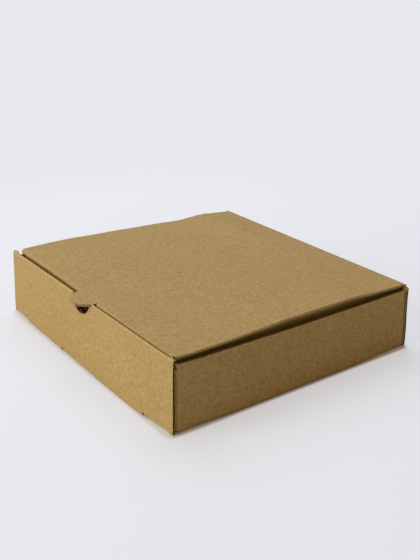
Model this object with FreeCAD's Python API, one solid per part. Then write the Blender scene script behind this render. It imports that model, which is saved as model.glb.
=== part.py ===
import FreeCAD, Part
import math
import os

# Closed pizza box folded from one die-cut sheet of fine corrugated board.
# X runs to the right, Y from the front wall to the hinge, Z up; all sizes are millimetres.
# The origin is the middle of the underside. The tray is the sheet up to the hinge crease,
# and the lid is the rest of the same sheet.

Vec = FreeCAD.Vector

# The board
BOARD = 1.5
FOLD_RADIUS = 0.2
LAYER_GAP = 0.1

# The tray
WALL_LENGTH = 187.0
TRAY_DEPTH = 187.0
FRONT_HEIGHT = 44.0
SIDE_DROP = 3.8
HINGE_DROP = 0.4
HINGE_GAP = 0.15
END_COVER = 0.4
SIDE_CLEARANCE = 0.4
EDGE_LIFT = 0.3

# The rolled-over top of the front wall, tight at the crease, and the inner panel below it
ROLL_RADIUS = 0.1
ROLL_SLANT = 20.0
ROLL_EASE = 3.0

# The side walls' corner flaps, which stand behind the front and back walls
CORNER_FLAP_LENGTH = 42.0
CORNER_FLAP_DROP = 3.0
CORNER_FLAP_TAPER = 6.0

# Slots in the front crease and the lock tabs of the rolled-over inner front panel
SLOT_START = 20.5
SLOT_LENGTH = 54.0
SLOT_END_GAP = 4.0
LOCK_TAB_CLEARANCE = 1.5
LOCK_TAB_CHAMFER = 0.8

# Finger notch in the front wall and the lid tab that lies over it
NOTCH_RADIUS = 10.4
TAB_WIDTH = 23.4
TAB_OVERHANG = 7.0
TAB_ROUND = 10.0
TAB_CLEARANCE = 0.3

# The lid
LID_GAP = 0.7
LID_SIDE_GAP = 0.8
LID_RISE = 2.2
TUCK_DEPTH = 27.0
TUCK_ROOT = 5.0
TUCK_SLANT = 20.0
TUCK_EASE = 6.0
TUCK_LEAN = 6.0
TUCK_INSET = 3.0
TUCK_TAPER = 6.0
TUCK_ROUND = 7.0
DUST_DEPTH = 29.0
DUST_START = 3.0
DUST_LEAN = 16.0
DUST_FRONT_TAPER = 9.0
DUST_BACK_TAPER = 24.0
DUST_ROUND = 9.0
HINGE_CORNER_CHAMFER = 2.5

# What follows from them
FOLD_OUTER = FOLD_RADIUS + BOARD
ROLL_OUTER = ROLL_RADIUS + BOARD
SIDE_HEIGHT = FRONT_HEIGHT - SIDE_DROP
HINGE_HEIGHT = FRONT_HEIGHT - HINGE_DROP
FRONT = -TRAY_DEPTH / 2
BACK = TRAY_DEPTH / 2
END = WALL_LENGTH / 2
SIDE = END - END_COVER
CREASE_END = SIDE - FOLD_OUTER
FRONT_WALL = 3 * BOARD + 2 * LAYER_GAP
CORNER_FRONT = FRONT + BOARD + LAYER_GAP + FOLD_OUTER
CORNER_BACK = -CORNER_FRONT
INNER_END = SIDE - BOARD - SIDE_CLEARANCE
LID_FRONT = FRONT + 2 * ROLL_OUTER + LID_GAP
LID_SIDE = SIDE - BOARD - LID_SIDE_GAP
LID_CREASE_END = LID_SIDE - FOLD_OUTER
LID_FOLD = LID_FRONT + FOLD_OUTER
HINGE_Y = BACK - BOARD / 2
HINGE_Z = HINGE_HEIGHT - BOARD / 2
TAB_LENGTH = LID_FOLD - FRONT + TAB_OVERHANG
BOW_CHORD = HINGE_Y - LID_FOLD
BOW_RADIUS = (BOW_CHORD**2 / 4 + LID_RISE**2) / (2 * LID_RISE)
BOW_TILT = math.degrees(math.asin(BOW_CHORD / 2 / BOW_RADIUS))
PAST = 1.0


def at_yz(x, y, z):
    """Point of a front-to-back section drawn at one x."""
    return Vec(x, y, z)


def at_xz(y, x, z):
    """Point of a side-to-side section drawn at one y."""
    return Vec(x, y, z)


def at_xy(z, x, y):
    """Point of a plan drawn at one height."""
    return Vec(x, y, z)


class BoardPath:
    """Walks along the middle of the board in a section and keeps both of its faces."""

    def __init__(self, start, heading, plane, level):
        self.point = start
        self.heading = math.radians(heading)
        self.place = lambda p: plane(level, *p)
        self.left, self.right = [], []

    def side(self, distance):
        """Point beside the path, with distance to the left of the way it goes."""
        return (
            self.point[0] - math.sin(self.heading) * distance,
            self.point[1] + math.cos(self.heading) * distance,
        )

    def line(self, length):
        """Flat stretch of board."""
        before = self.side(BOARD / 2), self.side(-BOARD / 2)
        self.point = (
            self.point[0] + math.cos(self.heading) * length,
            self.point[1] + math.sin(self.heading) * length,
        )
        after = self.side(BOARD / 2), self.side(-BOARD / 2)
        for edges, a, b in zip((self.left, self.right), before, after):
            edges.append(Part.LineSegment(self.place(a), self.place(b)).toShape())
        return self

    def bend(self, degrees, inner=FOLD_RADIUS):
        """Fold or bow, left if degrees is positive, with the radius of its inner face."""
        turn = math.radians(degrees)
        way = math.copysign(1, turn)
        centre = self.side(way * (inner + BOARD / 2))
        start = self.heading - way * math.pi / 2
        faces = (
            (self.left, inner if way > 0 else inner + BOARD),
            (self.right, inner + BOARD if way > 0 else inner),
        )
        for edges, radius in faces:
            ends = [
                (
                    centre[0] + radius * math.cos(start + turn * share),
                    centre[1] + radius * math.sin(start + turn * share),
                )
                for share in (0, 0.5, 1)
            ]
            edges.append(Part.Arc(*(self.place(p) for p in ends)).toShape())
        middle = inner + BOARD / 2
        self.point = (
            centre[0] + middle * math.cos(start + turn),
            centre[1] + middle * math.sin(start + turn),
        )
        self.heading += turn
        return self

    def face(self, round_start=None):
        """Closed face of the section, with a half round from round_start if it is given."""
        start, end = (
            (self.left[i].Vertexes[i].Point, self.right[i].Vertexes[i].Point) for i in (0, -1)
        )
        if round_start:
            first = Part.Arc(start[0], self.place(round_start), start[1]).toShape()
        else:
            first = Part.LineSegment(*start).toShape()
        caps = [first, Part.LineSegment(*end).toShape()]
        edges = Part.__sortEdges__(self.left + self.right + caps)
        return Part.Face(Part.Wire(edges))


def block(x0, x1, y0, y1, z0, z1):
    """Box between two corners."""
    return Part.makeBox(x1 - x0, y1 - y0, z1 - z0, Vec(x0, y0, z0))


def both_sides(shape):
    """A shape and its mirror image in the middle plane x = 0."""
    return [shape, shape.mirror(Vec(0, 0, 0), Vec(1, 0, 0))]


def prism(points, along):
    """Solid of a flat outline moved along a vector."""
    return Part.Face(Part.makePolygon(points + points[:1])).extrude(along)


def front_to_back_strip():
    """Back wall, base, front wall, rolled-over top strip and inner front panel."""
    top = HINGE_Z - BOARD / 2 - HINGE_GAP
    path = BoardPath((HINGE_Y, top), -90, at_yz, -END)
    path.line(top - FOLD_OUTER)
    path.bend(-90)
    path.line(TRAY_DEPTH - 2 * FOLD_OUTER)
    path.bend(-90)
    path.line(FRONT_HEIGHT - FOLD_OUTER - ROLL_OUTER)
    path.bend(ROLL_SLANT - 180, ROLL_RADIUS)
    slant = math.radians(ROLL_SLANT)
    eased = (ROLL_EASE + BOARD / 2) * (1 - math.cos(slant))
    inner_middle = FRONT + FRONT_WALL - BOARD / 2
    path.line((inner_middle - path.point[0] - eased) / math.sin(slant))
    path.bend(-ROLL_SLANT, ROLL_EASE)
    path.line(path.point[1] - BOARD - LAYER_GAP)
    return path.face().extrude(Vec(WALL_LENGTH, 0, 0))


def die_cut_ends(strip):
    """Trims the base, its creases and the inner front panel to their own lengths."""
    long_way = TRAY_DEPTH / 2 + PAST
    for side in (-1, 1):
        x0, x1 = sorted((side * CREASE_END, side * (END + PAST)))
        strip = strip.cut(block(x0, x1, -long_way, long_way, -PAST, FOLD_OUTER))
        x0, x1 = sorted((side * INNER_END, side * (END + PAST)))
        inner = block(
            x0, x1, FRONT + ROLL_OUTER, FRONT + FRONT_WALL + PAST, -PAST, FRONT_HEIGHT - ROLL_OUTER
        )
        strip = strip.cut(inner)
        chamfer = [
            Vec(side * LID_CREASE_END, BACK + PAST, HINGE_HEIGHT + PAST),
            Vec(side * LID_CREASE_END, BACK + PAST, HINGE_HEIGHT),
            Vec(side * (END + PAST), BACK + PAST, HINGE_HEIGHT - HINGE_CORNER_CHAMFER),
            Vec(side * (END + PAST), BACK + PAST, HINGE_HEIGHT + PAST),
        ]
        strip = strip.cut(prism(chamfer, Vec(0, -2 * FOLD_OUTER - PAST, 0)))
    return strip


def side_to_side_strip():
    """Side walls with the creases that join them to the base."""
    start = (-SIDE + BOARD / 2, SIDE_HEIGHT)
    path = BoardPath(start, -90, at_xz, CORNER_FRONT)
    path.line(SIDE_HEIGHT - FOLD_OUTER)
    path.bend(90)
    path.line(2 * CREASE_END)
    path.bend(90)
    path.line(SIDE_HEIGHT - FOLD_OUTER)
    return path.face().extrude(Vec(0, CORNER_BACK - CORNER_FRONT, 0))


def corner_flap(front):
    """Flap folded from the right side wall to stand behind the front or back wall."""
    way = 1 if front else -1
    corner = CORNER_FRONT if front else CORNER_BACK
    bottom = FOLD_OUTER + EDGE_LIFT
    top = SIDE_HEIGHT - CORNER_FLAP_DROP
    path = BoardPath((SIDE - BOARD / 2, corner), -90 * way, at_xy, bottom)
    path.bend(-90 * way)
    path.line(CORNER_FLAP_LENGTH)
    flap = path.face().extrude(Vec(0, 0, top - bottom))
    tip = CREASE_END - CORNER_FLAP_LENGTH
    root = tip + CORNER_FLAP_TAPER
    for edge, inside in ((bottom, 1), (top, -1)):
        corner_cut = [
            Vec(tip - PAST, corner - 2 * FOLD_OUTER, edge - inside * PAST),
            Vec(root, corner - 2 * FOLD_OUTER, edge - inside * PAST),
            Vec(tip - PAST, corner - 2 * FOLD_OUTER, edge + inside * CORNER_FLAP_TAPER),
        ]
        flap = flap.cut(prism(corner_cut, Vec(0, 4 * FOLD_OUTER, 0)))
    return flap


def slot_spans():
    """Start and end in x of the two slots in the front crease."""
    left = -END + SLOT_START
    right = END - SLOT_START
    return (left, left + SLOT_LENGTH), (right - SLOT_LENGTH, right)


def straight_edge(x0, x1, outer, way):
    """Stretch where a wall is cut free of its crease and runs straight down to its edge."""
    y0, y1 = sorted((outer, outer + way * BOARD))
    return block(x0, x1, y0, y1, EDGE_LIFT, FOLD_OUTER)


def lock_tab(x0, x1):
    """Tab on the lower edge of the inner front panel that stands in a slot."""
    y1 = FRONT + FRONT_WALL
    top = BOARD + LAYER_GAP
    outline = [
        Vec(x0, y1, top),
        Vec(x1, y1, top),
        Vec(x1, y1, EDGE_LIFT + LOCK_TAB_CHAMFER),
        Vec(x1 - LOCK_TAB_CHAMFER, y1, EDGE_LIFT),
        Vec(x0 + LOCK_TAB_CHAMFER, y1, EDGE_LIFT),
        Vec(x0, y1, EDGE_LIFT + LOCK_TAB_CHAMFER),
    ]
    return prism(outline, Vec(0, -BOARD, 0))


def tray():
    """The sheet from the front wall to the hinge crease, as one folded solid."""
    strip = die_cut_ends(front_to_back_strip())
    slot_back = FRONT + FRONT_WALL + EDGE_LIFT
    added = []
    for x0, x1 in slot_spans():
        strip = strip.cut(block(x0, x1, FRONT - PAST, slot_back, -PAST, FOLD_OUTER))
        added.append(straight_edge(x0, x1 - SLOT_END_GAP, FRONT, 1))
        added.append(lock_tab(x0 + LOCK_TAB_CLEARANCE, x1 - SLOT_END_GAP - LOCK_TAB_CLEARANCE))
        added.append(
            block(
                x0, x1,
                FRONT + FRONT_WALL - BOARD, FRONT + FRONT_WALL,
                BOARD + LAYER_GAP, FOLD_OUTER,
            )
        )
    for side in (-1, 1):
        x0, x1 = sorted((side * (CREASE_END + EDGE_LIFT), side * END))
        added.append(straight_edge(x0, x1, FRONT, 1))
        added.append(straight_edge(x0, x1, BACK, -1))
    flaps = both_sides(corner_flap(True)) + both_sides(corner_flap(False))
    folded = strip.fuse(added + [side_to_side_strip()] + flaps)
    notch = Part.makeCylinder(
        NOTCH_RADIUS, FRONT_WALL + 2 * PAST, Vec(0, FRONT - PAST, FRONT_HEIGHT), Vec(0, 1, 0)
    )
    crossing = lid_path(0).line(LID_FOLD - FRONT).side(BOARD / 2)
    recess = block(
        -TAB_WIDTH / 2 - TAB_CLEARANCE, TAB_WIDTH / 2 + TAB_CLEARANCE,
        FRONT - PAST, FRONT + FRONT_WALL + PAST,
        crossing[1] - TAB_CLEARANCE, FRONT_HEIGHT + PAST,
    )
    return folded.cut([notch, recess]).removeSplitter()


def lid_path(level):
    """Section of the bowed lid from the middle of the hinge crease to its front fold."""
    path = BoardPath((HINGE_Y, HINGE_Z), 180 - BOW_TILT, at_yz, level)
    return path.bend(2 * BOW_TILT, BOW_RADIUS - BOARD / 2)


def rounded_outline(points, radius, along):
    """Solid of an outline whose last two corners are rounded, moved along a vector."""
    solid = prism(points, along)
    corners = [
        edge
        for edge in solid.Edges
        for corner in points[-2:]
        if all((vertex.Point - corner).cross(along).Length < BOARD / 100 for vertex in edge.Vertexes)
    ]
    return solid.makeFillet(radius, corners)


def lid_panel():
    """Bowed top panel with a half-round crease at the hinge and the fold at the front."""
    path = lid_path(-LID_CREASE_END)
    path.bend(90 - BOW_TILT + TUCK_SLANT)
    knuckle = (HINGE_Y + BOARD / 2, HINGE_Z)
    return path.face(knuckle).extrude(Vec(2 * LID_CREASE_END, 0, 0))


def tuck_flap():
    """Flap below the front fold, which follows the inner panel of the front wall."""
    path = lid_path(-LID_CREASE_END)
    path.bend(90 - BOW_TILT + TUCK_SLANT)
    path.left, path.right = [], []
    top = path.point[1]
    path.line(TUCK_ROOT)
    path.bend(TUCK_LEAN - TUCK_SLANT, TUCK_EASE)
    path.line(TUCK_DEPTH - TUCK_ROOT)
    flap = path.face().extrude(Vec(2 * LID_CREASE_END, 0, 0))
    root = LID_CREASE_END - TUCK_INSET
    outline = [
        Vec(-root, LID_FRONT - PAST, top + BOARD),
        Vec(root, LID_FRONT - PAST, top + BOARD),
        Vec(root - TUCK_TAPER, LID_FRONT - PAST, path.point[1]),
        Vec(TUCK_TAPER - root, LID_FRONT - PAST, path.point[1]),
    ]
    reach = Vec(0, TUCK_DEPTH / 2, 0)
    return flap.common(rounded_outline(outline, TUCK_ROUND, reach))


def tab_hole():
    """What the cut round the tab takes out of the front fold and the tuck flap."""
    half = TAB_WIDTH / 2 + TAB_CLEARANCE
    fold_bottom = HINGE_HEIGHT - FOLD_OUTER
    tip = fold_bottom - TAB_LENGTH
    fold = block(-half, half, LID_FRONT - PAST, LID_FOLD, fold_bottom - PAST, HINGE_HEIGHT)
    outline = [
        Vec(-half, LID_FRONT - PAST, fold_bottom),
        Vec(half, LID_FRONT - PAST, fold_bottom),
        Vec(half, LID_FRONT - PAST, tip),
        Vec(-half, LID_FRONT - PAST, tip),
    ]
    hole = rounded_outline(outline, TAB_ROUND + TAB_CLEARANCE, Vec(0, TUCK_DEPTH / 2, 0))
    return [hole, fold]


def tab():
    """Tab in line with the lid that crosses the front wall and ends over the notch."""
    path = lid_path(-TAB_WIDTH / 2)
    path.left, path.right = [], []
    path.line(TAB_LENGTH)
    strip = path.face().extrude(Vec(TAB_WIDTH, 0, 0))
    half = TAB_WIDTH / 2
    base = HINGE_HEIGHT - TAB_OVERHANG
    outline = [
        Vec(-half, LID_FOLD, base),
        Vec(half, LID_FOLD, base),
        Vec(half, LID_FOLD - TAB_LENGTH, base),
        Vec(-half, LID_FOLD - TAB_LENGTH, base),
    ]
    return strip.common(rounded_outline(outline, TAB_ROUND, Vec(0, 0, 2 * TAB_OVERHANG)))


def dust_flap():
    """Flap folded down along the right edge of the bowed panel, inside the side wall."""
    centre = lid_path(0).side(BOW_RADIUS)
    path = BoardPath((LID_CREASE_END, centre[1] + BOW_RADIUS), 0, at_xz, centre[0])
    path.bend(-90 - DUST_LEAN)
    path.line(DUST_DEPTH)
    section = path.face()
    axis = Vec(0, *centre)
    section.rotate(axis, Vec(1, 0, 0), -BOW_TILT)
    flap = section.revolve(axis, Vec(1, 0, 0), 2 * BOW_TILT)
    top = HINGE_HEIGHT + 2 * LID_RISE
    fold_bottom = HINGE_HEIGHT - FOLD_OUTER
    bottom = fold_bottom - DUST_DEPTH * math.cos(math.radians(DUST_LEAN)) + LID_RISE
    inside = LID_CREASE_END - DUST_DEPTH
    back = HINGE_Y - DUST_START
    outline = [
        Vec(inside, back, fold_bottom),
        Vec(inside, back, top),
        Vec(inside, LID_FOLD, top),
        Vec(inside, LID_FOLD, fold_bottom),
        Vec(inside, LID_FOLD + DUST_FRONT_TAPER, bottom),
        Vec(inside, back - DUST_BACK_TAPER, bottom),
    ]
    return flap.common(rounded_outline(outline, DUST_ROUND, Vec(2 * DUST_DEPTH, 0, 0)))


def lid():
    """The sheet beyond the hinge crease: top panel, tuck flap, tab and dust flaps."""
    flaps = both_sides(dust_flap())
    folded = lid_panel().fuse([tuck_flap()] + flaps).cut(tab_hole())
    return folded.fuse(tab()).removeSplitter()


if __name__ == "__main__":
    os.makedirs("parts", exist_ok=True)
    for name, solid in (("tray", tray()), ("lid", lid())):
        box = solid.BoundBox
        print(name, solid.isValid(), len(solid.Solids), round(solid.Volume), box)
        solid.exportStep(f"parts/{name}.step")
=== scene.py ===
"""Looks of a closed pizza box folded from one sheet of brown corrugated board."""

import logging
import math
from dataclasses import dataclass, field
from enum import Enum

import bmesh
import bpy
from mathutils import Matrix, Vector
from mathutils.bvhtree import BVHTree


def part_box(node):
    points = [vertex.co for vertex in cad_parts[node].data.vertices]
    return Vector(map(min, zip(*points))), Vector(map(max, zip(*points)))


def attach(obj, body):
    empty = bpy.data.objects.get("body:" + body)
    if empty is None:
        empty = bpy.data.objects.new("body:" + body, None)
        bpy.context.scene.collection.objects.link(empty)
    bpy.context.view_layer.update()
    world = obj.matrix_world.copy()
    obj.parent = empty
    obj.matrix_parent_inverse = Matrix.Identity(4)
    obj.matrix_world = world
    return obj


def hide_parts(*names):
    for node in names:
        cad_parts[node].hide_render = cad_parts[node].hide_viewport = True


log = logging.getLogger("pizza_box")

Colour = tuple[float, float, float]
Place = tuple[float, float, float]
Span = tuple[float, float]
Knots = tuple[Span, ...]

MM = 0.001
MERGE = 1e-6
NOISE_MIDDLE = 0.5
WALL_TOP = 44.0
WALL_LAYER = 1.55


class Face(Enum):
    """Material slots of a folded board."""

    LINER = 0
    CUT = 1
    MEDIUM = 2


@dataclass(frozen=True)
class Board:
    """Thickness and corrugation of the sheet, in metres.

    Attributes:
        thickness: Whole thickness of the board.
        liner: Thickness of each outer paper at a cut edge.
        recess: How deep a cut edge is open between the liners.
        lip: Width of the slope into that opening.
        pitch: Distance from flute to flute.
    """

    thickness: float = 0.0015
    liner: float = 0.00030
    recess: float = 0.0006
    lip: float = 0.00004
    pitch: float = 0.0033


@dataclass(frozen=True)
class EdgeTest:
    """How cut edges and creases are told from plain faces.

    Attributes:
        probe_parts: Parts of the thickness of which one lies between a face and its probe.
        slant: Lean of the slanted probes.
        tolerance: How far a probed depth may miss the thickness, as a share of it.
        sliver: Width below which a face is never a cut edge, as a share of the thickness.
        widest: Longest short side of an open cut, as a share of the thickness.
        narrowest: Least width of an open cut, as a share of the thickness.
        crease: Least and greatest angle between the faces at a crease, in degrees.
        upright: Share of y in a normal above which a face counts as a front or back wall.
    """

    probe_parts: float = 50.0
    slant: float = 0.25
    tolerance: float = 0.12
    sliver: float = 0.25
    widest: float = 1.15
    narrowest: float = 0.8
    crease: Span = (6.0, 60.0)
    upright: float = 0.7


BOARD = Board()
EDGE = EdgeTest()


def between(knots: Knots, place: float) -> float:
    """Value of a smooth profile given by a few knots.

    Args:
        knots: Place and value of each knot, in order of place.
        place: Where the value is wanted.

    Returns:
        The value, eased from knot to knot and held beyond the ends.
    """
    if place <= knots[0][0]:
        return knots[0][1]
    for (a, low), (b, high) in zip(knots, knots[1:]):
        if place <= b:
            share = (place - a) / (b - a)
            return low + (high - low) * share * share * (3 - 2 * share)
    return knots[-1][1]


def ramp(span: Span, place: float) -> float:
    """Smooth step from 0 at the span's start to 1 at its end.

    Args:
        span: Where it leaves 0 and where it reaches 1.
        place: Where the value is wanted.

    Returns:
        The value.
    """
    return between(((span[0], 0.0), (span[1], 1.0)), place)


def fade(span: Span, place: float) -> float:
    """Smooth step from 1 at the span's start to 0 at its end.

    Args:
        span: Where it leaves 1 and where it reaches 0.
        place: Where the value is wanted.

    Returns:
        The value.
    """
    return 1 - ramp(span, place)


def group_tree(name: str, inputs: dict[str, str], outputs: dict[str, str]) -> bpy.types.NodeTree:
    """Starts a shader node group.

    Args:
        name: Name of the group.
        inputs: Socket type of each input by name.
        outputs: Socket type of each output by name.

    Returns:
        The group with its input and output nodes, named "in" and "out".
    """
    tree = bpy.data.node_groups.new(name, "ShaderNodeTree")
    for label, kind in inputs.items():
        tree.interface.new_socket(label, in_out="INPUT", socket_type=kind)
    for label, kind in outputs.items():
        tree.interface.new_socket(label, in_out="OUTPUT", socket_type=kind)
    tree.nodes.new("NodeGroupInput").name = "in"
    tree.nodes.new("NodeGroupOutput").name = "out"
    return tree


def add_node(tree: bpy.types.NodeTree, kind: str, **settings: object) -> bpy.types.Node:
    """Adds a node and sets its properties.

    Args:
        tree: Tree that gets the node.
        kind: Blender's name of the node type.
        settings: Properties of the node.

    Returns:
        The new node.
    """
    node = tree.nodes.new(kind)
    for label, value in settings.items():
        setattr(node, label, value)
    return node


def maths(tree: bpy.types.NodeTree, operation: str, first: object, second: object) -> object:
    """Adds a Math node.

    Args:
        tree: Tree that gets the node.
        operation: What the node works out.
        first: Socket or number.
        second: Socket or number.

    Returns:
        The node's output socket.
    """
    node = add_node(tree, "ShaderNodeMath", operation=operation)
    for socket, value in zip(node.inputs, (first, second)):
        if isinstance(value, (int, float)):
            socket.default_value = value
        else:
            tree.links.new(value, socket)
    return node.outputs[0]


@dataclass(frozen=True)
class FibrePattern:
    """Mottled, speckled fibre pattern of kraft paper, as a node group.

    Attributes:
        fine: Noise scale of the single fibres.
        fine_stretch: Stretch of the fine noise along each axis.
        coarse: Noise scale of the mottle.
        coarse_stretch: Stretch of the mottle along each axis.
        cloud: Noise scale of the wide, faint clouds.
        detail: Detail of all three noises.
        specks: Scale of the cells that hold the specks.
        speck_edge: Distance from a cell's point where a speck starts and where it is full.
        speck_mottle: Mottle above which a cell has a speck.
    """

    fine: float = 1500.0
    fine_stretch: Place = (1.0, 0.45, 0.45)
    coarse: float = 520.0
    coarse_stretch: Place = (1.0, 0.7, 1.0)
    cloud: float = 26.0
    detail: float = 3.0
    specks: float = 420.0
    speck_edge: Span = (0.18, 0.08)
    speck_mottle: float = 0.54

    def build(self) -> bpy.types.NodeTree:
        """Makes the group.

        Returns:
            Group from a position to a shade between 0 and 1, a mask of specks and a height.
        """
        tree = group_tree(
            "kraft_fibres",
            {"Vector": "NodeSocketVector", "Grain": "NodeSocketFloat", "Cloud": "NodeSocketFloat"},
            {"Shade": "NodeSocketFloat", "Speck": "NodeSocketFloat", "Height": "NodeSocketFloat"},
        )
        start, end = tree.nodes["in"], tree.nodes["out"]
        fine = self.stretched(tree, self.fine, self.fine_stretch)
        coarse = self.stretched(tree, self.coarse, self.coarse_stretch)
        cloud = self.noise(tree, self.cloud, start.outputs["Vector"])
        grain = self.swing(tree, fine, start.outputs["Grain"])
        blotch = self.swing(tree, coarse, start.outputs["Grain"])
        wide = self.swing(tree, cloud, start.outputs["Cloud"])
        centred = maths(tree, "ADD", wide, NOISE_MIDDLE)
        total = maths(tree, "ADD", maths(tree, "ADD", grain, blotch), centred)
        tree.links.new(total, end.inputs["Shade"])
        specks = add_node(tree, "ShaderNodeTexVoronoi")
        specks.inputs["Scale"].default_value = self.specks
        tree.links.new(start.outputs["Vector"], specks.inputs["Vector"])
        dots = add_node(tree, "ShaderNodeMapRange")
        dots.inputs["From Min"].default_value = self.speck_edge[0]
        dots.inputs["From Max"].default_value = self.speck_edge[1]
        tree.links.new(specks.outputs["Distance"], dots.inputs["Value"])
        rare = maths(tree, "GREATER_THAN", coarse, self.speck_mottle)
        tree.links.new(maths(tree, "MULTIPLY", dots.outputs[0], rare), end.inputs["Speck"])
        tree.links.new(fine, end.inputs["Height"])
        return tree

    def noise(self, tree: bpy.types.NodeTree, scale: float, vector: object) -> object:
        """Adds a noise.

        Args:
            tree: Tree that gets the node.
            scale: Scale of the noise.
            vector: Socket with the position.

        Returns:
            Socket with the noise, between 0 and 1.
        """
        pattern = add_node(tree, "ShaderNodeTexNoise")
        pattern.inputs["Scale"].default_value = scale
        pattern.inputs["Detail"].default_value = self.detail
        tree.links.new(vector, pattern.inputs["Vector"])
        return pattern.outputs["Fac"]

    def stretched(self, tree: bpy.types.NodeTree, scale: float, stretch: Place) -> object:
        """Adds a noise that is stretched along the fibres.

        Args:
            tree: Tree that gets the nodes.
            scale: Scale of the noise.
            stretch: Stretch along each axis.

        Returns:
            Socket with the noise, between 0 and 1.
        """
        place = add_node(tree, "ShaderNodeMapping")
        place.inputs["Scale"].default_value = stretch
        tree.links.new(tree.nodes["in"].outputs["Vector"], place.inputs["Vector"])
        return self.noise(tree, scale, place.outputs[0])

    @staticmethod
    def swing(tree: bpy.types.NodeTree, pattern: object, strength: object) -> object:
        """Centres a noise on 0 and scales it.

        Args:
            tree: Tree that gets the nodes.
            pattern: Socket with the noise.
            strength: Socket with the scale.

        Returns:
            Socket with the scaled noise.
        """
        centred = maths(tree, "SUBTRACT", pattern, NOISE_MIDDLE)
        return maths(tree, "MULTIPLY", centred, strength)


def flute_group() -> bpy.types.NodeTree:
    """Group with the faint ridges that the flutes press through the liner.

    Returns:
        Group from a position across the flutes to a height.
    """
    tree = group_tree(
        "flute_print",
        {"Along": "NodeSocketFloat", "Pitch": "NodeSocketFloat"},
        {"Height": "NodeSocketFloat"},
    )
    start, end = tree.nodes["in"], tree.nodes["out"]
    turns = maths(tree, "DIVIDE", start.outputs["Along"], start.outputs["Pitch"])
    wave = maths(tree, "SINE", maths(tree, "MULTIPLY", turns, 2 * math.pi), 0.0)
    tree.links.new(wave, end.inputs["Height"])
    return tree


@dataclass(frozen=True)
class KraftFinish:
    """Matt brown liner paper with fibre mottle, flute print and creases painted lighter, partly
    worn liner and partly a painted highlight along the folds.

    Attributes:
        name: Name of the material.
        light: Palest shade of the fibres.
        dark: Darkest shade of the fibres.
        speck: Colour of the specks.
        rub_and_highlight: Colour painted along a crease, partly worn liner and partly a painted
            highlight.
        grain: Strength of the fibres and the mottle.
        cloud: Strength of the wide clouds.
        speck_strength: How much of its colour a speck shows.
        rub_and_highlight_strength: How much of that colour a crease shows, worn liner plus painted
            highlight.
        flute_strength: Height of the flute print, as a share of the fibres' height.
        roughness: Roughness of the paper.
        specular: Specular level of the paper.
        relief: Height of the fibres, in metres.
    """

    name: str = "kraft_liner"
    light: Colour = (0.45, 0.325, 0.132)
    dark: Colour = (0.275, 0.185, 0.062)
    speck: Colour = (0.13, 0.075, 0.025)
    # Lighter crease colour: partly worn liner, partly a painted highlight along the folds.
    rub_and_highlight: Colour = (0.52, 0.38, 0.19)
    grain: float = 1.35
    cloud: float = 0.25
    speck_strength: float = 0.6
    rub_and_highlight_strength: float = 0.2
    flute_strength: float = 0.15
    roughness: float = 0.86
    specular: float = 0.2
    relief: float = 0.00004

    def build(self) -> bpy.types.Material:
        """Makes the material.

        Returns:
            The material.
        """
        material = bpy.data.materials.new(self.name)
        material.use_nodes = True
        tree = material.node_tree
        shader = tree.nodes["Principled BSDF"]
        shader.inputs["Roughness"].default_value = self.roughness
        shader.inputs["Specular IOR Level"].default_value = self.specular
        place = add_node(tree, "ShaderNodeTexCoord")
        fibres = add_node(tree, "ShaderNodeGroup", node_tree=bpy.data.node_groups["kraft_fibres"])
        fibres.inputs["Grain"].default_value = self.grain
        fibres.inputs["Cloud"].default_value = self.cloud
        tree.links.new(place.outputs["Object"], fibres.inputs["Vector"])
        base = self.mix(tree, fibres.outputs["Shade"], self.dark, self.light)
        dotted = maths(tree, "MULTIPLY", fibres.outputs["Speck"], self.speck_strength)
        specked = self.mix(tree, dotted, base, self.speck)
        # The crease mask paints the folds lighter: partly worn liner, partly a painted highlight.
        crease = add_node(tree, "ShaderNodeAttribute", attribute_name="crease")
        rub_and_highlight_share = maths(tree, "MULTIPLY", crease.outputs["Fac"], self.rub_and_highlight_strength)
        worn_and_highlit = self.mix(tree, rub_and_highlight_share, specked, self.rub_and_highlight)
        tree.links.new(worn_and_highlit, shader.inputs["Base Color"])
        along = add_node(tree, "ShaderNodeAttribute", attribute_name="along")
        flutes = add_node(tree, "ShaderNodeGroup", node_tree=bpy.data.node_groups["flute_print"])
        flutes.inputs["Pitch"].default_value = BOARD.pitch
        tree.links.new(along.outputs["Fac"], flutes.inputs["Along"])
        printed = maths(tree, "MULTIPLY", flutes.outputs["Height"], self.flute_strength)
        height = maths(tree, "ADD", fibres.outputs["Height"], printed)
        bump = add_node(tree, "ShaderNodeBump")
        bump.inputs["Strength"].default_value = 1.0
        bump.inputs["Distance"].default_value = self.relief
        tree.links.new(height, bump.inputs["Height"])
        tree.links.new(bump.outputs["Normal"], shader.inputs["Normal"])
        return material

    @staticmethod
    def mix(tree: bpy.types.NodeTree, share: object, first: object, second: object) -> object:
        """Blends two colours, each a socket or a constant.

        Args:
            tree: Tree that gets the node.
            share: Socket that gives the second colour's share.
            first: Colour at 0.
            second: Colour at 1.

        Returns:
            Socket with the mixed colour.
        """
        node = add_node(tree, "ShaderNodeMix", data_type="RGBA")
        tree.links.new(share, node.inputs["Factor"])
        for socket, value in ((node.inputs[6], first), (node.inputs[7], second)):
            if isinstance(value, tuple):
                socket.default_value = (*value, 1.0)
            else:
                tree.links.new(value, socket)
        return node.outputs[2]


@dataclass(frozen=True)
class CutFinish(KraftFinish):
    """Raw cut edge of the liners: a shade darker than their face."""

    name: str = "cut_edge"
    light: Colour = (0.32, 0.22, 0.095)
    dark: Colour = (0.15, 0.098, 0.036)
    grain: float = 1.0


@dataclass(frozen=True)
class FluteHollowShade(KraftFinish):
    """Fluted paper between the liners, painted near black: painted shade of the hollows between
    the flutes.
    """

    name: str = "flute_hollow_painted_shade"
    # Near-black colours are painted shade of the flute hollows, which the flat sunk floor doesn't
    # model.
    light: Colour = (0.11, 0.07, 0.03)
    dark: Colour = (0.03, 0.018, 0.007)
    grain: float = 1.0


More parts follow.
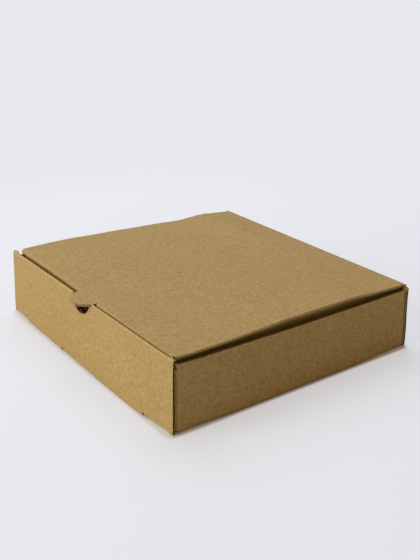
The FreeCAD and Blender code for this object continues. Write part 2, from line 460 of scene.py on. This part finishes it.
@dataclass
class FoldedBoard:
    """A folded sheet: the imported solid, divided finely and shaped as the photo shows.

    Attributes:
        node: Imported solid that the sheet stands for.
        body: Moving body that the sheet rides on.
        cell: Size of the cells that it is divided into, in metres.
        phase: How far the first cut falls short of a whole cell, as a share of the cell.
        margins: Places of two more cuts at each end, in board thicknesses.
        flatness: Angle below which neighbouring faces are merged first, in radians.
        low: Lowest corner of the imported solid's box.
        high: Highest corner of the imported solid's box.
    """

    node: str
    body: str
    cell: float = 0.006
    phase: float = 0.37
    margins: Span = (1.4, 2.4)
    flatness: float = math.radians(0.05)
    low: Vector = field(init=False)
    high: Vector = field(init=False)

    def __post_init__(self) -> None:
        """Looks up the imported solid's box once."""
        self.low, self.high = (Vector(corner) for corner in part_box(self.node))

    def shape(self, point: Vector) -> Vector:
        """Where a point of the plain folded sheet lies on the used one."""
        return point

    def build(self, nodes: dict[str, bpy.types.Object],
              finishes: tuple[bpy.types.Material, ...]) -> bpy.types.Object:
        """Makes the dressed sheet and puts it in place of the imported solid.

        Args:
            nodes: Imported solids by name.
            finishes: Material of each slot, in the order of Face.

        Returns:
            The new piece.
        """
        mesh = nodes[self.node].data.copy()
        mesh.name = f"{self.node}_board"
        bm = bmesh.new()
        bm.from_mesh(mesh)
        bmesh.ops.remove_doubles(bm, verts=bm.verts, dist=MERGE)
        bmesh.ops.dissolve_limit(bm, angle_limit=self.flatness, verts=bm.verts, edges=bm.edges)
        self.sort_faces(bm)
        self.divide(bm)
        self.mark(bm)
        self.open_cuts(bm)
        for vertex in bm.verts:
            vertex.co = self.shape(vertex.co)
        bm.normal_update()
        mesh.materials.clear()
        for material in finishes:
            mesh.materials.append(material)
        bm.to_mesh(mesh)
        bm.free()
        piece = bpy.data.objects.new(f"{self.node}_board", mesh)
        bpy.context.scene.collection.objects.link(piece)
        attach(piece, self.body)
        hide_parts(self.node)
        log.info("%s: %d faces", piece.name, len(mesh.polygons))
        return piece

    def divide(self, bm: bmesh.types.BMesh) -> None:
        """Cuts the sheet into cells along the three axes, so that it can be bent.

        Args:
            bm: The sheet.
        """
        near = tuple(BOARD.thickness * margin for margin in self.margins)
        for axis in range(3):
            low, high = self.low[axis], self.high[axis]
            count = int((high - low) / self.cell)
            places = [low + (step - self.phase) * self.cell for step in range(1, count + 1)]
            places += [low + distance for distance in near]
            places += [high - distance for distance in near]
            for along in places:
                place, normal = Vector(), Vector()
                place[axis] = along
                normal[axis] = 1.0
                geometry = bm.verts[:] + bm.edges[:] + bm.faces[:]
                bmesh.ops.bisect_plane(bm, geom=geometry, dist=MERGE, plane_co=place,
                                       plane_no=normal)

    def sort_faces(self, bm: bmesh.types.BMesh) -> None:
        """Gives cut edges their own slot: below them the board goes on past its thickness.

        Args:
            bm: The sheet.
        """
        tree = BVHTree.FromBMesh(bm)
        step = BOARD.thickness / EDGE.probe_parts
        for face in bm.faces:
            inside = face.calc_center_median() - face.normal * step
            aslant = face.normal.orthogonal().normalized() * EDGE.slant
            across = face.normal.cross(aslant)
            plain = False
            for lean in (Vector(), aslant, -aslant, across, -across):
                hit = tree.ray_cast(inside, lean - face.normal)
                depth = hit[3] + step if hit[3] is not None else 0.0
                missed = abs(depth - BOARD.thickness)
                plain = plain or missed < BOARD.thickness * EDGE.tolerance
            width = 2 * face.calc_area() / max(face.calc_perimeter(), step)
            plain = plain or width < BOARD.thickness * EDGE.sliver
            face.material_index = Face.LINER.value if plain else Face.CUT.value
            face.smooth = plain

    def open_cuts(self, bm: bmesh.types.BMesh) -> None:
        """Sinks the middle of each cut edge between its two liners.

        Args:
            bm: The sheet.
        """
        bm.normal_update()
        open_ends = [
            face for face in bm.faces
            if face.material_index == Face.CUT.value and self.narrow(face)
        ]
        log.info("%s: %d cells of open edge", self.node, len(open_ends))
        regions = bmesh.ops.inset_region(
            bm, faces=open_ends, thickness=BOARD.liner, depth=0.0, use_even_offset=True,
        )
        ring = set(regions["faces"])
        inner = [face for face in open_ends if face.is_valid and face not in ring]
        if not inner:
            return
        sunk = bmesh.ops.inset_region(bm, faces=inner, thickness=BOARD.lip, depth=-BOARD.recess)
        # The sunk floor takes the near-black fluting colour, which is painted shade of the flute
        # hollows.
        for face in set(sunk["faces"]) | set(inner):
            if face.is_valid:
                face.material_index = Face.MEDIUM.value

    def narrow(self, face: bmesh.types.BMFace) -> bool:
        """Whether a face is a strip about as wide as the board is thick.

        Args:
            face: The face.

        Returns:
            True for such a strip.
        """
        spans = [edge.calc_length() for edge in face.edges]
        return (
            len(face.verts) == 4
            and min(spans) < BOARD.thickness * EDGE.widest
            and face.calc_area() > BOARD.thickness * BOARD.liner
            and face.calc_area() / max(spans) > BOARD.thickness * EDGE.narrowest
        )

    def mark(self, bm: bmesh.types.BMesh) -> None:
        """Stores how much each point is creased and where it lies across the flutes.

        Args:
            bm: The sheet.
        """
        crease = bm.verts.layers.float.new("crease")
        along = bm.verts.layers.float.new("along")
        least, most = (math.radians(angle) for angle in EDGE.crease)
        for vertex in bm.verts:
            plain = [f.normal for f in vertex.link_faces if f.material_index == Face.LINER.value]
            spread = max((a.angle(b, 0.0) for a in plain for b in plain), default=0.0)
            # This crease mask drives the lighter colour painted along the folds, partly worn liner
            # and partly a painted highlight.
            vertex[crease] = 1.0 if least < spread < most else 0.0
            normal = plain[0] if plain else vertex.normal
            vertex[along] = vertex.co.z if abs(normal.y) > EDGE.upright else vertex.co.y


@dataclass(frozen=True)
class Spot:
    """A point of the tray in millimetres, with its distances from the walls' outer faces.

    Attributes:
        x: Place to the right of the middle.
        y: Place behind the middle.
        z: Height.
        behind: Distance behind the front wall's face.
        before: Distance before the back wall's face.
        beside: Distance from the nearer side wall's face.
    """

    x: float
    y: float
    z: float
    behind: float
    before: float
    beside: float


@dataclass(frozen=True)
class RollWear:
    """Roll along the top of the front wall, pressed flat. Lengths in mm.

    Attributes:
        kept: Depth that the roll keeps, as a share, by x.
        depth: Depth of the roll as folded.
        height: Heights between which the pressing sets in.
        reach: Distances behind the front between which it ends.
        whole_end: Width at each end that keeps its depth.
        sag: How far the left end sinks.
        sag_side: Places in x between which the sag ends.
        sag_start: Distances behind the front between which the sag sets in.
        sag_reach: Distances behind the front between which it ends.
    """

    kept: Knots = ((-93.0, 1.0), (-84.0, 0.45), (-15.0, 0.45), (20.0, 0.22), (84.0, 0.22),
                   (93.0, 0.45))
    depth: float = 3.2
    height: Span = (37.0, 42.0)
    reach: Span = (6.0, 9.0)
    whole_end: float = 1.8
    sag: float = 0.25
    sag_side: Span = (-93.0, -89.0)
    sag_start: Span = (0.3, 2.5)
    sag_reach: Span = (4.5, 6.0)

    def forward(self, at: Spot) -> float:
        """How far a point is pressed forward.

        Args:
            at: The point.

        Returns:
            The distance in mm.
        """
        if at.behind >= WALL_LAYER and at.beside < self.whole_end:
            return 0.0
        lost = min(at.behind, self.depth) * (1 - between(self.kept, at.x))
        return lost * ramp(self.height, at.z) * fade(self.reach, at.behind)

    def sunk(self, at: Spot) -> float:
        """How far a point at the left end of the roll sinks.

        Args:
            at: The point.

        Returns:
            The distance in mm.
        """
        drop = self.sag * fade(self.sag_side, at.x) * ramp(self.height, at.z)
        return drop * ramp(self.sag_start, at.behind) * fade(self.sag_reach, at.behind)


@dataclass(frozen=True)
class WallBow:
    """Outward bow of the walls' feet. Lengths in mm.

    Attributes:
        belly: How far the foot of the front wall bows forward, by x.
        flank: How far the foot of a side wall bows outward, by y.
        heel: How far the foot of the back wall bows backward, by x.
        height: Heights between which the bow ends.
        reach: Distances from a wall between which the base stops taking part.
        hidden_share: Share of the bow that the left wall has.
    """

    belly: Knots = ((-93.0, 0.2), (-50.0, 1.6), (10.0, 2.8), (60.0, 2.8), (93.0, 0.2))
    flank: Knots = ((-93.0, 1.8), (-50.0, 3.3), (40.0, 3.3), (93.0, 1.4))
    heel: Knots = ((-93.0, 0.6), (0.0, 1.5), (93.0, 2.4))
    height: Span = (0.0, 42.0)
    reach: Span = (2.0, 35.0)
    hidden_share: float = 0.3

    def forward(self, at: Spot) -> float:
        """How far a point moves forward with the front wall, less than 0 with the back wall.

        Args:
            at: The point.

        Returns:
            The distance in mm.
        """
        low_down = fade(self.height, at.z)
        front = between(self.belly, at.x) * low_down * fade(self.reach, at.behind)
        return front - between(self.heel, at.x) * low_down * fade(self.reach, at.before)

    def sideways(self, at: Spot) -> float:
        """How far a point moves to the right with its side wall.

        Args:
            at: The point.

        Returns:
            The distance in mm, less than 0 on the left.
        """
        outward = between(self.flank, at.y) * fade(self.height, at.z)
        outward *= fade(self.reach, at.beside)
        if at.x < 0:
            outward *= self.hidden_share
        return math.copysign(outward, at.x)


@dataclass(frozen=True)
class NotchWear:
    """Finger notch, off the middle and wider in the rolled-in layer. Lengths in mm.

    Attributes:
        shift: How far the notch lies left of the middle.
        sides: Distances from the middle between which the shift ends.
        height: Heights between which the shift sets in.
        reach: Distances behind the front between which it ends.
        left_top: Heights between which the notch's left top corner comes back.
        turn: How far that corner comes back to the right, as a share of the shift.
        ease: How much wider the notch is in the rolled-in layer.
        ring: Distances from the notch's centre between which the widening ends.
        inner_layer: Distances behind the front between which it sets in.
        ease_reach: Distances behind the front between which it ends.
        ease_top: Heights between which it ends.
        centre: Least distance from the notch's centre that counts.
    """

    shift: float = 1.4
    sides: Span = (12.0, 40.0)
    height: Span = (22.0, 33.0)
    reach: Span = (5.0, 9.0)
    left_top: Span = (39.0, 43.0)
    turn: float = 2.0
    ease: float = 2.5
    ring: Span = (10.4, 17.0)
    inner_layer: Span = (1.2, 3.0)
    ease_reach: Span = (6.0, 8.0)
    ease_top: Span = (36.0, 42.0)
    centre: float = 1.0

    def moved(self, at: Spot) -> tuple[float, float]:
        """How far a point of the front wall moves with the notch.

        Args:
            at: The point.

        Returns:
            The distances to the right and up, in mm.
        """
        left = self.shift * fade(self.sides, abs(at.x)) * ramp(self.height, at.z)
        left *= fade(self.reach, at.behind)
        if at.x < 0:
            left *= 1 - self.turn * ramp(self.left_top, at.z)
        down = WALL_TOP - at.z
        away = max(math.hypot(at.x, down), self.centre)
        widened = self.ease * fade(self.ring, away) * ramp(self.inner_layer, at.behind)
        widened *= fade(self.ease_reach, at.behind) * fade(self.ease_top, at.z)
        return widened * at.x / away - left, -widened * down / away


@dataclass(frozen=True)
class SideWallWear:
    """Wandering rim, lifted foot and front corner of a side wall. Lengths in mm.

    Attributes:
        rim: Height of the raw edge over the plain cut, by y.
        rim_height: Heights between which the rim's height sets in.
        rim_reach: Distances from the wall's face between which it ends.
        hover: How high the crease below the wall stands off the table, by y.
        hover_height: Heights between which the hover ends.
        hover_reach: Distances from the wall's face between which it ends.
        gap: How far the fold stays back from the end of the front wall.
        gap_side: Distances from the wall's face between which the gap ends.
        gap_reach: Distances behind the front between which it ends.
        gap_height: Heights between which it narrows.
        gap_closing: Share of the gap that is lost higher up.
        fold_width: Width of the fold, seen from the front.
        closing: How far the top of the fold reaches forward over its corner flap.
        closing_height: Heights between which that sets in.
        closing_reach: Distances behind the front between which it ends.
        slump: How far the foot sinks next to the front wall.
        slump_reach: Distances behind the front between which the slump ends.
        slump_height: Heights between which it ends.
        slump_side: Distances from the wall's face between which it ends.
    """

    rim: Knots = ((-93.0, 0.5), (-78.0, -0.2), (-10.0, -0.3), (40.0, 0.0), (92.0, 0.5))
    rim_height: Span = (30.0, 40.0)
    rim_reach: Span = (2.0, 2.5)
    hover: Knots = ((-93.0, 0.3), (-75.0, 0.7), (40.0, 0.8), (88.0, 0.8), (93.0, 0.2))
    hover_height: Span = (2.0, 30.0)
    hover_reach: Span = (2.0, 25.0)
    gap: float = 1.7
    gap_side: Span = (0.6, 4.0)
    gap_reach: Span = (3.0, 12.0)
    gap_height: Span = (32.0, 37.0)
    gap_closing: float = 0.85
    fold_width: float = 1.6
    closing: float = 1.5
    closing_height: Span = (37.3, 37.9)
    closing_reach: Span = (3.4, 7.0)
    slump: float = 1.3
    slump_reach: Span = (3.0, 14.0)
    slump_height: Span = (3.0, 12.0)
    slump_side: Span = (4.0, 6.0)

    def moved(self, at: Spot) -> tuple[float, float]:
        """How far a point between the front and back walls' layers moves.

        Args:
            at: The point.

        Returns:
            The distances back and up, in mm.
        """
        if at.behind < WALL_LAYER or at.before <= WALL_LAYER:
            return 0.0, 0.0
        up = between(self.rim, at.y) * ramp(self.rim_height, at.z)
        up *= fade(self.rim_reach, at.beside)
        lifted = fade(self.hover_height, at.z) * fade(self.hover_reach, at.beside)
        up += between(self.hover, at.y) * lifted
        back = self.gap * fade(self.gap_side, at.beside) * fade(self.gap_reach, at.behind)
        back *= 1 - self.gap_closing * ramp(self.gap_height, at.z)
        if at.beside < self.fold_width:
            closed = self.closing * ramp(self.closing_height, at.z)
            back -= closed * fade(self.closing_reach, at.behind)
        slumped = self.slump * fade(self.slump_reach, at.behind)
        slumped *= fade(self.slump_height, at.z) * fade(self.slump_side, at.beside)
        return back, max(up - slumped, -at.z)


@dataclass
class Tray(FoldedBoard):
    """Base with its four walls, pressed and bowed by use.

    Attributes:
        roll: Wear of the roll along the front wall.
        bow: Bow of the walls' feet.
        notch: Wear of the finger notch.
        side_walls: Wear of the side walls.
    """

    node: str = "tray"
    body: str = "tray"
    roll: RollWear = RollWear()
    bow: WallBow = WallBow()
    notch: NotchWear = NotchWear()
    side_walls: SideWallWear = SideWallWear()

    def shape(self, point: Vector) -> Vector:
        """Flattens the roll, bows the walls' feet and lets the raw edges wander.

        Args:
            point: A point of the plain folded tray, in metres.

        Returns:
            Where it lies on the used one.
        """
        x, y, z = (value / MM for value in point)
        at = Spot(
            x, y, z,
            behind=y - self.low.y / MM,
            before=self.high.y / MM - y,
            beside=self.high.x / MM - abs(x),
        )
        aside, lifted = self.notch.moved(at)
        back, up = self.side_walls.moved(at)
        aside += self.bow.sideways(at)
        back -= self.roll.forward(at) + self.bow.forward(at)
        up += lifted - self.roll.sunk(at)
        return point + Vector((aside, back, up)) * MM


@dataclass
class Lid(FoldedBoard):
    """Bowed lid with its flaps and thumb tab, warped by use. Lengths in mm.

    Attributes:
        left: Height of the left edge over the plain fold, by y.
        right: The same for the right edge.
        arch: Height of the panel's arch as folded.
        arch_middle: Place in y of its highest line.
        arch_half: Half its length in y.
        panel_top: Height of the panel's outer face at the ends of the arch.
        fold_radius: Outer radius of the folds along the sides.
        fold_line: Place in x where these folds begin.
        sharpness: How square these folds are, from 0 for round to 1 for a square corner.
        forward: How far the front fold lies before its plain place, by x.
        forward_height: Heights between which that sets in.
        forward_reach: Places in y between which it ends.
        tab_root: Places in y between which it sets in behind the tab.
        perk: How far the tip of the tab stands up.
        tab_length: Places in y between which the tab comes down to the panel.
        tab_cut: How far the left side of the tab is cut back towards the right, by x.
        cut_root: Places in y between which the cut ends behind the tab's root.
        cut_tip: Places in y between which the tip's further cut ends.
        cut_height: Heights between which the cut sets in.
        gape: How far the dust flaps draw inward just below their folds.
        gape_start: Distances below the panel between which the gape sets in.
        gape_end: Distances below the panel between which it ends.
        flap_top: Distance below the panel from which a point inside the folds is a flap's.
        flap_lean: How far inside the folds such a point may lie.
        crease_reach: How far the ends of the hinge crease stand out sideways.
        crease_side: Distances from the middle between which that sets in.
        crease_start: Places in y between which it sets in.
    """

    node: str = "lid"
    body: str = "lid"
    left: Knots = ((-89.0, 1.7), (-72.0, 1.7), (-58.0, 1.5), (-27.0, 0.3), (7.0, -0.6),
                   (44.0, -1.0), (61.0, 0.9), (74.0, 0.8), (92.0, 0.0))
    right: Knots = ((-87.0, -0.1), (-74.0, -0.7), (-54.0, -1.1), (-33.0, -0.7), (-10.0, 0.0),
                    (27.0, 0.3), (42.0, 0.8), (68.0, -0.1), (92.0, 0.0))
    arch: float = 2.2
    arch_middle: float = 2.4
    arch_half: float = 90.3
    panel_top: float = 43.6
    fold_radius: float = 1.7
    fold_line: float = 89.1
    sharpness: float = 0.6
    forward: Knots = ((-88.0, -0.2), (-60.0, -0.6), (-15.0, -0.4), (20.0, 1.5))
    forward_height: Span = (37.0, 42.0)
    forward_reach: Span = (-85.0, -30.0)
    tab_root: Span = (-95.0, -90.5)
    perk: float = 0.5
    tab_length: Span = (-99.0, -90.0)
    tab_cut: Knots = ((-45.0, 0.0), (-13.0, 2.3), (4.0, 0.0))
    cut_root: Span = (-93.0, -84.0)
    cut_tip: Span = (-98.5, -93.0)
    cut_height: Span = (35.0, 41.0)
    gape: float = 2.0
    gape_start: Span = (0.6, 4.0)
    gape_end: Span = (8.0, 25.0)
    flap_top: float = 3.0
    flap_lean: float = 12.0
    crease_reach: float = 2.2
    crease_side: Span = (85.0, 89.1)
    crease_start: Span = (89.8, 91.0)

    def shape(self, point: Vector) -> Vector:
        """Warps the panel between its two edges; the crease at the hinge stays where it is.

        Args:
            point: A point of the plain folded lid, in metres.

        Returns:
            Where it lies on the used one.
        """
        x, y, z = (value / MM for value in point)
        across = (point.x - self.low.x) / (self.high.x - self.low.x)
        rise = between(self.left, y) * (1 - across) ** 2 + between(self.right, y) * across**2
        moved = between(self.forward, x) * ramp(self.forward_height, z)
        moved *= fade(self.forward_reach, y) * ramp(self.tab_root, y)
        tip = self.perk * fade(self.tab_length, y)
        top = self.panel_top + self.arch * (1 - ((y - self.arch_middle) / self.arch_half) ** 2)
        aside = self.flap_side(x, y, top - z) * math.copysign(1.0, x)
        slanted = fade(self.cut_root, y) + fade(self.cut_tip, y)
        aside += between(self.tab_cut, x) * slanted * ramp(self.cut_height, z)
        squared = self.square(x, z - (top - self.fold_radius))
        return point + (squared + Vector((aside, -moved, rise + tip))) * MM

    def square(self, x: float, up: float) -> Vector:
        """How far a point of a side fold moves out to make the fold squarer.

        Args:
            x: Place of the point to the right of the middle.
            up: Its height over the centre of the fold.

        Returns:
            The move in mm.
        """
        out = abs(x) - self.fold_line
        if out <= 0 or up <= 0:
            return Vector((0.0, 0.0, 0.0))
        gain = self.sharpness * (math.hypot(out, up) / max(out, up) - 1)
        return Vector((math.copysign(out * gain, x), 0.0, up * gain))

    def flap_side(self, x: float, y: float, below: float) -> float:
        """How far a point moves outward with the crease's end or inward with a dust flap.

        Args:
            x: Place of the point to the right of the middle.
            y: Place of the point behind the middle.
            below: Distance of the point below the panel.

        Returns:
            The distance outward in mm.
        """
        out = abs(x) - self.fold_line
        inward = 0.0
        if out > 0 or (below > self.flap_top and out > -self.flap_lean):
            inward = self.gape * ramp(self.gape_start, below) * fade(self.gape_end, below)
        spread = ramp(self.crease_side, abs(x)) * ramp(self.crease_start, y)
        return self.crease_reach * spread - inward


@dataclass(frozen=True)
class Lamp:
    """A square soft light that faces the box.

    Attributes:
        name: Name of the light.
        place: Its middle, in metres.
        size: Length of its side, in metres.
        power: Its power in watts.
        colour: Its colour.
    """

    name: str
    place: Place
    size: float
    power: float
    colour: Colour

    def build(self) -> None:
        """Makes the light."""
        data = bpy.data.lights.new(self.name, "AREA")
        data.size = self.size
        data.energy = self.power
        data.color = self.colour
        lamp = bpy.data.objects.new(self.name, data)
        lamp.location = self.place
        lamp.rotation_euler = Vector(self.place).to_track_quat("Z", "Y").to_euler()
        bpy.context.scene.collection.objects.link(lamp)


@dataclass(frozen=True)
class FloorFinish:
    """Pale floor paper that the camera sees turn into the backdrop away from the box.

    Attributes:
        colour: Colour of the paper.
        backdrop: Colour that it turns into.
        roughness: Roughness of the paper.
        specular: Specular level of the paper.
        footprint: Half the box's length along each axis; the height never counts.
        fades: Distances from the box where a blend starts and ends, and its full share.
    """

    colour: Colour
    backdrop: Colour
    roughness: float = 0.9
    specular: float = 0.1
    footprint: Place = (0.0935, 0.0935, 1.0)
    fades: tuple[Place, ...] = ((0.0028, 0.0055, 0.6), (0.03, 0.34, 1.0))

    def build(self) -> bpy.types.Material:
        """Makes the material.

        Returns:
            The material.
        """
        material = bpy.data.materials.new("floor_paper")
        material.use_nodes = True
        tree = material.node_tree
        shader = tree.nodes["Principled BSDF"]
        shader.inputs["Base Color"].default_value = (*self.colour, 1.0)
        shader.inputs["Roughness"].default_value = self.roughness
        shader.inputs["Specular IOR Level"].default_value = self.specular
        away = self.distance(tree)
        shares = []
        for start, end, most in self.fades:
            edge = add_node(tree, "ShaderNodeMapRange", interpolation_type="SMOOTHSTEP")
            edge.inputs["From Min"].default_value = start
            edge.inputs["From Max"].default_value = end
            edge.inputs["To Max"].default_value = most
            tree.links.new(away, edge.inputs["Value"])
            shares.append(edge.outputs[0])
        path = add_node(tree, "ShaderNodeLightPath")
        glow = add_node(tree, "ShaderNodeEmission")
        glow.inputs["Color"].default_value = (*self.backdrop, 1.0)
        blend = add_node(tree, "ShaderNodeMixShader")
        even = maths(tree, "MAXIMUM", *shares)
        share = maths(tree, "MULTIPLY", even, path.outputs["Is Camera Ray"])
        tree.links.new(share, blend.inputs[0])
        tree.links.new(shader.outputs[0], blend.inputs[1])
        tree.links.new(glow.outputs[0], blend.inputs[2])
        tree.links.new(blend.outputs[0], tree.nodes["Material Output"].inputs["Surface"])
        return material

    def distance(self, tree: bpy.types.NodeTree) -> object:
        """Adds the nodes for the distance from the box's footprint.

        Args:
            tree: Tree that gets the nodes.

        Returns:
            Socket with the distance in metres.
        """
        place = add_node(tree, "ShaderNodeTexCoord")
        beyond = add_node(tree, "ShaderNodeVectorMath", operation="ABSOLUTE")
        tree.links.new(place.outputs["Object"], beyond.inputs[0])
        outside = add_node(tree, "ShaderNodeVectorMath", operation="SUBTRACT")
        outside.inputs[1].default_value = self.footprint
        tree.links.new(beyond.outputs[0], outside.inputs[0])
        clear = add_node(tree, "ShaderNodeVectorMath", operation="MAXIMUM")
        tree.links.new(outside.outputs[0], clear.inputs[0])
        away = add_node(tree, "ShaderNodeVectorMath", operation="LENGTH")
        tree.links.new(clear.outputs[0], away.inputs[0])
        return away.outputs["Value"]


@dataclass
class Studio:
    """Floor, lights, world and camera.

    Attributes:
        azimuth: Direction of the camera, in degrees from the front.
        elevation: Height of the camera, in degrees.
        roll: Turn of the picture, in degrees.
        focal_mm: Focal length of the lens.
        eye: Place of the camera, in metres.
        floor_size: Half the floor's length.
        floor_colour: Colour of the floor paper.
        backdrop: Colour of the backdrop.
        surroundings: Colour of the light from all round.
        surroundings_strength: Strength of that light.
        lamps: The lights.
    """

    azimuth: float = 51.07
    elevation: float = 22.36
    roll: float = 2.7225
    focal_mm: float = 50.314
    eye: Place = (0.3768, -0.30077, 0.23333)
    floor_size: float = 8.0
    floor_colour: Colour = (0.78, 0.81, 0.87)
    backdrop: Colour = (0.807, 0.812, 0.847)
    surroundings: Colour = (1.0, 0.70, 0.39)
    surroundings_strength: float = 0.362
    lamps: tuple[Lamp, ...] = (
        Lamp("overhead_light", (-0.85, 0.3, 1.25), 1.3, 16.6, (0.86, 1.0, 1.23)),
        Lamp("front_light", (-0.3, -1.6, 0.7), 1.2, 22.8, (1.09, 1.05, 1.02)),
    )

    def build(self) -> None:
        """Sets up everything that isn't the box."""
        self.floor()
        self.world()
        for lamp in self.lamps:
            lamp.build()
        self.camera()

    def floor(self) -> None:
        """Makes the wide pale floor."""
        mesh = bpy.data.meshes.new("floor")
        bm = bmesh.new()
        bmesh.ops.create_grid(bm, x_segments=1, y_segments=1, size=self.floor_size)
        bm.to_mesh(mesh)
        bm.free()
        floor = bpy.data.objects.new("floor", mesh)
        bpy.context.scene.collection.objects.link(floor)
        mesh.materials.append(FloorFinish(self.floor_colour, self.backdrop).build())

    def world(self) -> None:
        """Makes the dim warm surroundings, seen by the camera as the pale backdrop."""
        world = bpy.data.worlds.new("studio")
        world.use_nodes = True
        tree = world.node_tree
        light = tree.nodes["Background"]
        light.inputs["Color"].default_value = (*self.surroundings, 1.0)
        light.inputs["Strength"].default_value = self.surroundings_strength
        backdrop = add_node(tree, "ShaderNodeBackground")
        backdrop.inputs["Color"].default_value = (*self.backdrop, 1.0)
        path = add_node(tree, "ShaderNodeLightPath")
        blend = add_node(tree, "ShaderNodeMixShader")
        tree.links.new(path.outputs["Is Camera Ray"], blend.inputs[0])
        tree.links.new(light.outputs[0], blend.inputs[1])
        tree.links.new(backdrop.outputs[0], blend.inputs[2])
        tree.links.new(blend.outputs[0], tree.nodes["World Output"].inputs["Surface"])
        bpy.context.scene.world = world

    def camera(self) -> None:
        """Makes the camera at the photo's viewing angle."""
        azimuth, elevation = math.radians(self.azimuth), math.radians(self.elevation)
        back = Vector((
            math.sin(azimuth) * math.cos(elevation),
            -math.cos(azimuth) * math.cos(elevation),
            math.sin(elevation),
        ))
        right = Vector((0, 0, 1)).cross(back).normalized()
        up = back.cross(right)
        turn = Matrix((right, up, back)).transposed() @ Matrix.Rotation(
            math.radians(self.roll), 3, "Z"
        )
        data = bpy.data.cameras.new("camera")
        data.lens = self.focal_mm
        camera = bpy.data.objects.new("camera", data)
        camera.location = self.eye
        camera.rotation_euler = turn.to_euler()
        bpy.context.scene.collection.objects.link(camera)
        bpy.context.scene.camera = camera


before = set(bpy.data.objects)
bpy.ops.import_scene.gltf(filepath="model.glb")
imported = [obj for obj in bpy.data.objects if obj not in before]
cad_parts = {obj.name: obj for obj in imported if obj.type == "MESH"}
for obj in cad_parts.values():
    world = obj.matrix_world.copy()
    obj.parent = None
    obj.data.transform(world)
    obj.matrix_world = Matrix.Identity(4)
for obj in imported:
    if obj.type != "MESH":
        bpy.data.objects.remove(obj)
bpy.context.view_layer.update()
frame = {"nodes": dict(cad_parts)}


def main() -> None:
    """Builds the box and its surroundings."""
    logging.basicConfig(level=logging.INFO)
    bpy.context.scene.view_settings.view_transform = "Standard"
    FibrePattern().build()
    flute_group()
    finishes = (KraftFinish().build(), CutFinish().build(), FluteHollowShade().build())
    for sheet in (Tray(), Lid()):
        sheet.build(frame["nodes"], finishes)
    Studio().build()


if __name__ == "__main__":
    main()
